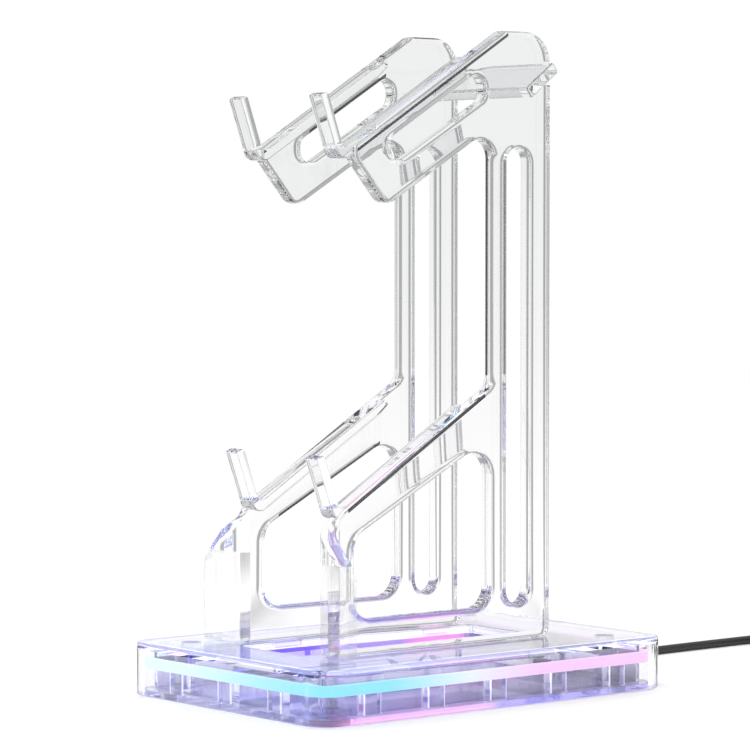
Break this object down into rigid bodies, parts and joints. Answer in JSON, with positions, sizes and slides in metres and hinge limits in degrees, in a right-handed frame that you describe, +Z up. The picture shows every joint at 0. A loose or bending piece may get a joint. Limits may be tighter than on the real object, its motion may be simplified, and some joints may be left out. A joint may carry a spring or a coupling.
{
  "type": "console storage rack",
  "caption": "Clear rack with hooked side frames on a lit rectangular base, for resting game controllers across its upper and lower hooks.",
  "frame": {"origin": "middle of the base, on the surface under its feet", "axes": "+Z up, -Y towards the open ends of the hooks, +X to the right of someone who faces the hooks"},
  "size_m": [0.14, 0.4067, 0.294],
  "materials": {
    "clear_cover": "polished clear acrylic",
    "clear_floor": "polished clear acrylic, violet tint from the light",
    "clear_frame": "polished clear acrylic",
    "light_band": "frosted diffuser, lit cyan to pink",
    "strip_film": "satin white film",
    "light_chip": "gloss",
    "circuit_board": "white solder mask",
    "black_part": "satin black",
    "white_part": "satin white",
    "steel": "bright plated steel",
    "rubber_foot": "matt translucent rubber",
    "lead_jacket": "satin black jacket",
    "tie_strap": "matt black"
  },
  "bodies": {
    "root": {"base_cover": "clear_cover", "floor_plate": "clear_floor", "light_band": "light_band", "led_strip": "strip_film", "led_chips": "light_chip", "control_board": "circuit_board", "driver_chip": "black_part", "board_socket": "white_part", "board_screws": "steel", "base_screws": "steel", "left_frame": "clear_frame", "right_frame": "clear_frame", "crossbar": "clear_frame", "front_left_foot": "rubber_foot", "front_right_foot": "rubber_foot", "rear_left_foot": "rubber_foot", "rear_right_foot": "rubber_foot", "strain_relief": "lead_jacket", "inner_lead": "lead_jacket", "cable": "lead_jacket", "cable_coil": "lead_jacket", "coil_tie": "tie_strap", "plug_body": "black_part", "plug_shell": "steel", "plug_tongue": "white_part"}
  },
  "joints": []
}
